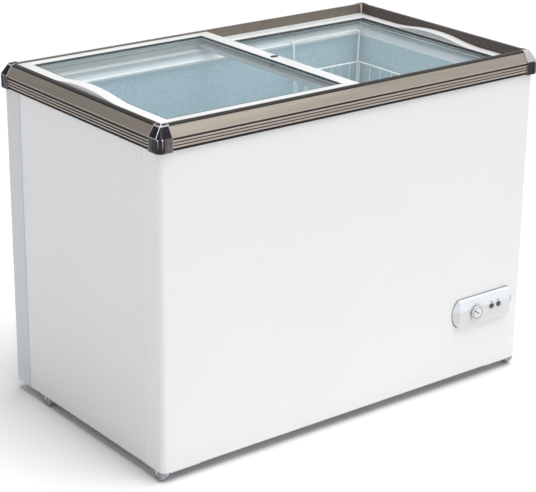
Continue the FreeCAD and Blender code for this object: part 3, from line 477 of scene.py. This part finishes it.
# %% [markdown]
# A lamp is a dark bezel with a coloured lens in its middle. Both are one CAD
# node, so the lens is painted by its distance from the lamp's own centre line.


# %% Lamps
def lamp_finish(name, node, lens, bezel):
    made = Finish(name, Coat_Weight=0.6, Coat_Roughness=0.05)
    low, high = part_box(node)
    mid_x, mid_z = (low[0] + high[0]) / 2, (low[2] + high[2]) / 2
    across, up = made.x - mid_x, made.z - mid_z
    core = 1 - (across * across + up * up).step((3.6 * MM) ** 2, (4.4 * MM) ** 2)
    facets = made.cells(1400.0)
    glow = made.mix(facets, rgb(*lens), rgb(*(c * 1.8 for c in lens)))
    made.feed("Base Color", made.mix(core, rgb(*bezel), glow))
    made.feed("Roughness", 0.30 - 0.15 * core)
    made.relief(facets * core, 0.2, 0.0003)
    return made.material


lamp_red = lamp_finish("red lamp", "alarm_lamp", (0.090, 0.016, 0.018), (0.018, 0.006, 0.006))
lamp_green = lamp_finish("green lamp", "power_lamp", (0.020, 0.070, 0.038), (0.005, 0.014, 0.008))
print("lamps:", lamp_red.name, lamp_green.name)

# %% [markdown]
# The panel's face is creased. The strip over the crease is painted a cool,
# lit white, and the field under it, where the knob sits, is painted greyer as
# shade, because the two faces of the crease tilt up and down. The knob has a
# printed ring and a dark printed pointer, and a dark foot painted as shade
# where it meets the panel. Both finishes are painted by where a point lies on
# the piece.

# %% Control panel and knob
panel_low, panel_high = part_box("control_housing")
panel_z = (panel_low[2] + panel_high[2]) / 2
knob_low, knob_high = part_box("thermostat_knob")
knob_x, knob_z = (knob_low[0] + knob_high[0]) / 2, (knob_low[2] + knob_high[2]) / 2
made = Finish("control panel white", Specular_IOR_Level=0.5)
flow = made.noise(9.0, 3.0)
# Painted light and shade: the strip over the crease is a lit cool white, and the field under it
# is greyer.
upper = made.z.step(panel_z + 7 * MM, panel_z + 9 * MM)
shaded_field_with_flow = made.mix(flow.step(0.3, 0.7), rgb(0.745, 0.745, 0.750), rgb(0.775, 0.775, 0.780))
made.feed("Base Color", made.mix(upper, shaded_field_with_flow, rgb(0.84, 0.865, 0.91)))
made.feed("Roughness", 0.26 + 0.08 * flow)
made.relief(made.noise(700.0, 2.0), 0.1, 0.0002)
panel_white = made.material
made = Finish("knob white", Specular_IOR_Level=0.5)
across, up = made.x - knob_x, made.z - knob_z
reach = across * across + up * up
ring = reach.step((13.6 * MM) ** 2, (14.2 * MM) ** 2)
ring = ring * (1 - reach.step((15.4 * MM) ** 2, (16.0 * MM) ** 2))
ring = ring * (1 - made.y.step(knob_low[1] + 0.9 * MM, knob_low[1] + 1.2 * MM))
pointer = 1 - made.y.step(knob_low[1] + 0.2 * MM, knob_low[1] + 0.4 * MM)
# Painted shade: foot darkens the back of the knob, where it meets the panel; printed holds the
# printed ring and pointer and this painted shade too.
foot = made.y.step(knob_low[1] + 5.0 * MM, knob_low[1] + 6.5 * MM)
printed = pointer.largest(ring * 0.85).largest(foot * 0.7)
grain = made.noise(700.0, 2.0)
made.feed("Base Color", made.mix(printed, rgb(0.80, 0.80, 0.80), rgb(0.035, 0.035, 0.04)))
made.feed("Roughness", 0.26 + 0.08 * grain)
made.relief(grain, 0.1, 0.0002)
knob_white = made.material
print("panel:", panel_white.name, "and", knob_white.name)

# %% [markdown]
# The CAD nodes arrive as loose triangles with knife-sharp edges. Real parts
# have small radii that catch the light, and without them the caps and the lid
# frames look cut from card. So a node that is seen up close is copied, its
# triangles are merged, and its sharp edges get a fine bevel. The copy stands
# for the node.


# %% Copying a CAD node with eased edges
def finish_piece(form, name, material, body, smooth=35.0):
    """Turns a bmesh into a piece that rides on a body."""
    mesh = bpy.data.meshes.new(name)
    form.to_mesh(mesh)
    form.free()
    mesh.shade_smooth()
    mesh.set_sharp_from_angle(angle=radians(smooth))
    mesh.materials.append(material)
    piece = bpy.data.objects.new(name, mesh)
    bpy.context.scene.collection.objects.link(piece)
    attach(piece, body)
    return piece


def body_of(node):
    return frame["nodes"][node]["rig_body"]


def soften(form, width, segments=2, sharp=40.0):
    """Bevels the edges that turn by more than `sharp` degrees."""
    edges = [
        e for e in form.edges
        if e.is_manifold and e.calc_face_angle(0.0) > radians(sharp)
    ]
    bmesh.ops.bevel(form, geom=edges, offset=width, offset_type="OFFSET", affect="EDGES",
                    segments=segments, profile=0.5, material=-1, clamp_overlap=True)


def eased(node, material, width=0.0, segments=2, sharp=32.0):
    """A merged copy of a CAD node, its sharp edges rounded by `width` mm."""
    form = bmesh.new()
    form.from_mesh(frame["nodes"][node].data)
    bmesh.ops.remove_doubles(form, verts=form.verts, dist=MERGE)
    bmesh.ops.dissolve_limit(form, angle_limit=radians(0.5), verts=form.verts, edges=form.edges)
    if width:
        soften(form, width * MM, segments, sharp)
    piece = finish_piece(form, node + "_eased", material, body_of(node))
    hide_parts(node)
    return piece


for end in ("front_left", "front_right", "rear_left", "rear_right"):
    cap = eased("corner_cap_" + end, cap_finish, 0.4, 2, 20.0)
    eased("roller_wheel_" + end, roller_grey, 0.5)
    print(cap.name, len(cap.data.polygons), "faces")

# %% [markdown]
# The lids: two handle ends with their long smooth humps, two meeting ends and
# four rails. A mould leaves a small radius on their edges.

# %% Lid frames
MOULD_RADIUS = 0.6            # mm
for lid in ("upper_lid", "lower_lid"):
    for part in ("handle_end", "meeting_end", "front_rail", "rear_rail"):
        piece = eased(f"{lid}_{part}", lid_white, MOULD_RADIUS)
    print(lid, "frame eased,", len(piece.data.polygons), "faces in its last rail")

# %% Control panel, knob, lamps, lock, keys and grille
eased("control_housing", panel_white, 0.8, 3)
eased("thermostat_knob", knob_white, 0.15)
eased("alarm_lamp", lamp_red, 0.3)
eased("power_lamp", lamp_green, 0.3)
eased("lock_surround", black_plastic, 0.4)
eased("lock_barrel", lock_steel, 0.2)
eased("rim_corner_keys", key_white, 0.4)
eased("side_grille", grille_grey, 0.3)
for node in ("basket_hangers", "basket_side_walls", "basket_end_walls", "basket_floor"):
    eased(node, wire_white)
eased("compressor", shell_black)
eased("refrigerant_pipes", copper)
print("small parts eased")

# %% [markdown]
# The rest of the frame keeps its CAD mesh and only gets its finish. The names
# on the left are the record's slots, so no node can be forgotten.

# %% Finishes on the nodes that stay
by_slot = {
    "skin": skin_white, "galvanised": zinc_sheet, "black_plastic": black_plastic, "foam": foam,
    "liner": liner_blue, "copper": copper, "collar": collar_white, "rim": rim_long,
    "corner_cap": cap_finish, "white_plastic": key_white, "lid_frame": lid_white,
    "lid_glass": lid_glass, "slider": glide_white, "lock_metal": lock_steel,
    "coated_wire": wire_white, "compressor_paint": shell_black, "rubber": rubber,
    "roller": roller_grey, "zinc": zinc_bolt, "panel_plastic": panel_white,
    "lamp_red": lamp_red, "lamp_green": lamp_green, "grey_plastic": grille_grey,
}
own = {"rim_left": rim_short, "rim_right": rim_far, "rim_rear": rim_back,
       "left_side_panel": side_enamel_shaded, "right_side_panel": side_enamel_shaded,
       "roller_brackets": zinc_sheet, "rear_panel": rear_enamel_shaded}
for row in frame["record"]["subparts"]:
    node = frame["nodes"][row["node"]]
    finish = own.get(row["node"], by_slot[row["material_slot"]])
    if not node.data.materials:
        node.data.materials.append(finish)
    for place in node.material_slots:
        place.material = finish

# %% [markdown]
# A dark seal runs round each pane and hides the glue. It is a thin frame: one
# face is inset, its middle is taken out, and the ring that is left is given
# its height, from the glass to just over the frame.


# %% Flat frames and bars
def flat_frame(low, high, width, height):
    """A rectangular ring lying flat, its outer edge at the two corners."""
    form = bmesh.new()
    bmesh.ops.create_grid(form, x_segments=1, y_segments=1, size=0.5)
    size = (high[0] - low[0], high[1] - low[1], 1.0)
    centre = ((low[0] + high[0]) / 2, (low[1] + high[1]) / 2, low[2])
    bmesh.ops.scale(form, verts=form.verts, vec=size)
    bmesh.ops.translate(form, verts=form.verts, vec=centre)
    middle = form.faces[:]
    bmesh.ops.inset_region(form, faces=middle, thickness=width, use_boundary=True,
                           use_even_offset=True)
    bmesh.ops.delete(form, geom=middle, context="FACES")
    grown = bmesh.ops.extrude_face_region(form, geom=form.faces[:])["geom"]
    raised = [item for item in grown if isinstance(item, bmesh.types.BMVert)]
    bmesh.ops.translate(form, verts=raised, vec=(0, 0, height))
    bmesh.ops.recalc_face_normals(form, faces=form.faces)
    return form


SEAL_WIDTH = 3.0 * MM
SEAL_LAP = 0.3 * MM           # how far the seal goes under the frame's edge
SEAL_SINK = 0.2 * MM          # how far it starts below the glass
SEAL_RISE = 0.4 * MM          # its height over what glass to frame measures
for lid in ("upper_lid", "lower_lid"):
    glass_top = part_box(f"{lid}_glass")[1][2]
    (left, _, _), (right, front, rail_top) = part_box(f"{lid}_front_rail")
    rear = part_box(f"{lid}_rear_rail")[0][1]
    low = (left - SEAL_LAP, front - SEAL_LAP, glass_top - SEAL_SINK)
    high = (right + SEAL_LAP, rear + SEAL_LAP)
    form = flat_frame(low, high, SEAL_WIDTH, rail_top - glass_top + SEAL_RISE)
    soften(form, 0.4 * MM)
    seal = finish_piece(form, f"{lid}_pane_seal", seal_and_seam_shade_grey, lid)
    span = f"{high[0] - low[0]:.3f} x {high[1] - low[1]:.3f} m,"
    print(seal.name, span, len(seal.data.polygons), "faces")

# %% [markdown]
# The dial around the knob is an arc of ticks, and each lamp has two dashes
# over it where a real panel has its words. They are thin bars that lie
# on the creased face, so each one is set back as far as the face is there.

# %% Marks on the control panel
def face_y(z):
    """Where the creased face of the panel is at height z."""
    rise = z - panel_z - 8 * MM
    return panel_low[1] + 2.5 * MM * (rise / (27 * MM) if rise > 0 else -rise / (43 * MM))


def add_bar(form, x, z, length, width, angle):
    """A thin bar on the panel's face, turned by an angle about Y."""
    made = bmesh.ops.create_cube(form, size=1.0)["verts"]
    bmesh.ops.scale(form, verts=made, vec=(length, 0.7 * MM, width))
    bmesh.ops.rotate(form, verts=made, matrix=Matrix.Rotation(angle, 3, "Y"))
    bmesh.ops.translate(form, verts=made, vec=(x, face_y(z), z))


form = bmesh.new()
TICKS = 11
FIRST_TICK, TICK_STEP = -50, 28     # degrees
DIAL_RADIUS = 21.0 * MM
for i in range(TICKS):
    turn = radians(FIRST_TICK + TICK_STEP * i)
    add_bar(form, knob_x + DIAL_RADIUS * cos(turn), knob_z + DIAL_RADIUS * sin(turn),
            (4.4 if i % 5 == 0 else 3.0) * MM, 1.3 * MM, -turn)
for node in ("alarm_lamp", "power_lamp"):
    low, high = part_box(node)
    for part, shift in ((4.2, -2.6), (3.0, 2.2)):
        lamp_x = (low[0] + high[0]) / 2
        add_bar(form, lamp_x + shift * MM, high[2] + 4.5 * MM, part * MM, 1.9 * MM, 0.0)
marks = finish_piece(form, "panel_marks", mark_grey, "cabinet")
print(marks.name, len(marks.data.polygons), "faces")

# %% [markdown]
# A thin dark sheet behind the housing shows as a line all round it: the seam
# between housing and skin, darkened as painted shade. It has the housing's own
# outline, so the housing is copied, pressed flat against the skin and made a
# little larger. The knob crosses it.

# %% Seam line behind the control panel, painted as shade
form = bmesh.new()
form.from_mesh(frame["nodes"]["control_housing"].data)
bmesh.ops.remove_doubles(form, verts=form.verts, dist=MERGE)
middle = Vector(((panel_low[0] + panel_high[0]) / 2, -skin_y, panel_z))
SEAM_SHADE_LIP = 1.7 * MM          # how far it shows round the housing
PRESSED_FLAT = 0.09
wide, tall = panel_high[0] - panel_low[0], panel_high[2] - panel_low[2]
pressed = (1 + 2 * SEAM_SHADE_LIP / wide, PRESSED_FLAT, 1 + 2 * SEAM_SHADE_LIP / tall)
bmesh.ops.scale(form, verts=form.verts, vec=pressed, space=Matrix.Translation(-middle))
seam_shade = finish_piece(form, "panel_seam_shade", seal_and_seam_shade_grey, "cabinet")
print(seam_shade.name, len(seam_shade.data.polygons), "faces")

# %% [markdown]
# Rivet heads lie over the side grille's four holes, and a row of them closes
# the rear sheet to the base. A blind rivet is a low dome with a dimple: half its outline is drawn
# and spun once round.


# %% Rivets
def add_rivet(form, at, axis, radius):
    """A blind rivet's head at a point, facing along the axis."""
    outline = [(0.0, 0.35), (0.28, 0.35), (0.34, 0.62), (0.62, 0.56), (0.90, 0.34), (1.0, 0.0)]
    first = [form.verts.new((r * radius, 0, h * radius)) for r, h in outline]
    line = [form.edges.new(pair) for pair in zip(first, first[1:])]
    spun = bmesh.ops.spin(form, geom=first + line, cent=(0, 0, 0), axis=(0, 0, 1), angle=2 * pi,
                          steps=14, use_merge=True, dvec=(0, 0, 0))
    new = {v for item in first + line + spun["geom_last"] for v in getattr(item, "verts", [item])}
    known = set(new)
    while new:
        new = {v for n in new for e in n.link_edges for v in e.verts} - known
        known |= new
    turn = Vector((0, 0, 1)).rotation_difference(Vector(axis)).to_matrix()
    bmesh.ops.rotate(form, verts=list(known), matrix=turn)
    bmesh.ops.translate(form, verts=list(known), vec=at)


SINK = 0.05 * MM               # a head starts this far inside its sheet
ROW, ROW_END, ROW_Z = 7, 90 * MM, 45 * MM
form = bmesh.new()
grille_low, grille_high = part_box("side_grille")
mid_z = (grille_low[2] + grille_high[2]) / 2
for y in (grille_low[1] + 5 * MM, grille_high[1] - 5 * MM):
    for dz in (-50 * MM, 50 * MM):
        add_rivet(form, (grille_high[0] - SINK, y, mid_z + dz), (1, 0, 0), 3.4 * MM)
for i in range(ROW):
    x = -skin_x + ROW_END + i * (2 * skin_x - 2 * ROW_END) / (ROW - 1)
    add_rivet(form, (x, skin_y - SINK, ROW_Z), (0, 1, 0), 2.6 * MM)
bmesh.ops.remove_doubles(form, verts=form.verts, dist=MERGE)
bmesh.ops.recalc_face_normals(form, faces=form.faces)
rivets = finish_piece(form, "sheet_rivets", zinc_bolt, "cabinet")
print(rivets.name, len(rivets.data.polygons), "faces")

# %% [markdown]
# The floor is plain and pale and reaches twenty metres out. It glows a very
# little, which keeps it close to the white of the surround.

# %% Floor
form = bmesh.new()
bmesh.ops.create_grid(form, x_segments=1, y_segments=1, size=20.0)
mesh = bpy.data.meshes.new("floor")
form.to_mesh(mesh)
form.free()
made = Finish("studio floor", Specular_IOR_Level=0.2, Emission_Strength=0.02)
white, whiter = rgb(0.93, 0.93, 0.93), rgb(0.96, 0.96, 0.96)
made.feed("Base Color", made.mix(made.noise(0.8, 2.0), white, whiter))
made.feed("Roughness", 0.75 + 0.1 * made.noise(3.0))
mesh.materials.append(made.material)
floor = bpy.data.objects.new("floor", mesh)
bpy.context.scene.collection.objects.link(floor)
print("floor laid")

# %% [markdown]
# Light: a pale surround, as in a white cove, and one very wide source that
# stands almost overhead. It is tilted a little to the front right, so it makes
# the floor white, reaches down into the tank, and leaves the left side darker
# than the front. Two soft panels help: one lights the left side, and one just
# under the panes lights the tank. The surround is brighter on the right than
# on the left, but seen directly it is white everywhere.


# %% Light of the studio
def wide_sun(name, towards, strength, spread):
    data = bpy.data.lights.new(name, "SUN")
    data.energy = strength
    data.angle = radians(spread)
    lamp = bpy.data.objects.new(name, data)
    lamp.rotation_euler = Vector(towards).to_track_quat("-Z", "Y").to_euler()
    bpy.context.scene.collection.objects.link(lamp)


def soft_panel(name, place, target, size, watts):
    data = bpy.data.lights.new(name, "AREA")
    data.shape = "RECTANGLE"
    data.size, data.size_y = size
    data.energy = watts
    lamp = bpy.data.objects.new(name, data)
    lamp.location = place
    lamp.rotation_euler = (Vector(target) - Vector(place)).to_track_quat("-Z", "Y").to_euler()
    lamp.visible_camera = False
    lamp.visible_glossy = False
    bpy.context.scene.collection.objects.link(lamp)


wide_sun("overhead", (-0.16, 0.25, -1.0), 2.5, 50.0)
soft_panel("left", (-1.9, -0.30, 2.0), (-skin_x, -0.25, 0.6), (0.8, 0.8), 3.5)
soft_panel("under the panes", (0, 0, 0.815), (0, 0, 0), (0.96, 0.50), 2.0)
world = bpy.data.worlds.new("cove")
world.use_nodes = True
backdrop = world.node_tree.nodes["Background"]
direction = world.node_tree.nodes.new("ShaderNodeTexCoord")
split = world.node_tree.nodes.new("ShaderNodeSeparateXYZ")
fade = world.node_tree.nodes.new("ShaderNodeMapRange")
LEFT_GLOW, RIGHT_GLOW = 0.20, 0.60
fade.inputs["From Min"].default_value = -0.6
fade.inputs["From Max"].default_value = 0.6
fade.inputs["To Min"].default_value = LEFT_GLOW
fade.inputs["To Max"].default_value = RIGHT_GLOW
world.node_tree.links.new(direction.outputs["Generated"], split.inputs["Vector"])
world.node_tree.links.new(split.outputs["X"], fade.inputs["Value"])
seen = world.node_tree.nodes.new("ShaderNodeLightPath")
either = world.node_tree.nodes.new("ShaderNodeMath")
either.operation = "MAXIMUM"
world.node_tree.links.new(fade.outputs["Result"], either.inputs[0])
world.node_tree.links.new(seen.outputs["Is Camera Ray"], either.inputs[1])
world.node_tree.links.new(either.outputs[0], backdrop.inputs["Strength"])
backdrop.inputs["Color"].default_value = rgb(0.96, 0.98, 1.0)
bpy.context.scene.world = world
bpy.context.scene.view_settings.view_transform = "Standard"
print("lights: overhead, left, under the panes, and the surround")

# %% [markdown]
# The camera looks down at the front left corner through a long lens, from
# about four and a half metres. It has no shift, so upright edges draw together
# a little towards the floor.

# %% Camera
yaw, pitch, roll = radians(37.89), radians(20.69), radians(0.61)
ahead = Vector((sin(yaw) * cos(pitch), cos(yaw) * cos(pitch), -sin(pitch)))
level = Vector((cos(yaw), -sin(yaw), 0))
above = level.cross(ahead)
right = level * cos(roll) + above * sin(roll)
up = above * cos(roll) - level * sin(roll)
data = bpy.data.cameras.new("camera")
data.sensor_width = 36.0       # mm
data.lens = 120.2              # mm
camera = bpy.data.objects.new("camera", data)
turned = Matrix((right, up, -ahead)).transposed().to_4x4()
CAMERA_PLACE = (-2.632, -3.367, 1.976)
camera.matrix_world = Matrix.Translation(CAMERA_PLACE) @ turned
bpy.context.scene.collection.objects.link(camera)
bpy.context.scene.camera = camera
print("camera at", [round(c, 2) for c in camera.matrix_world.translation])
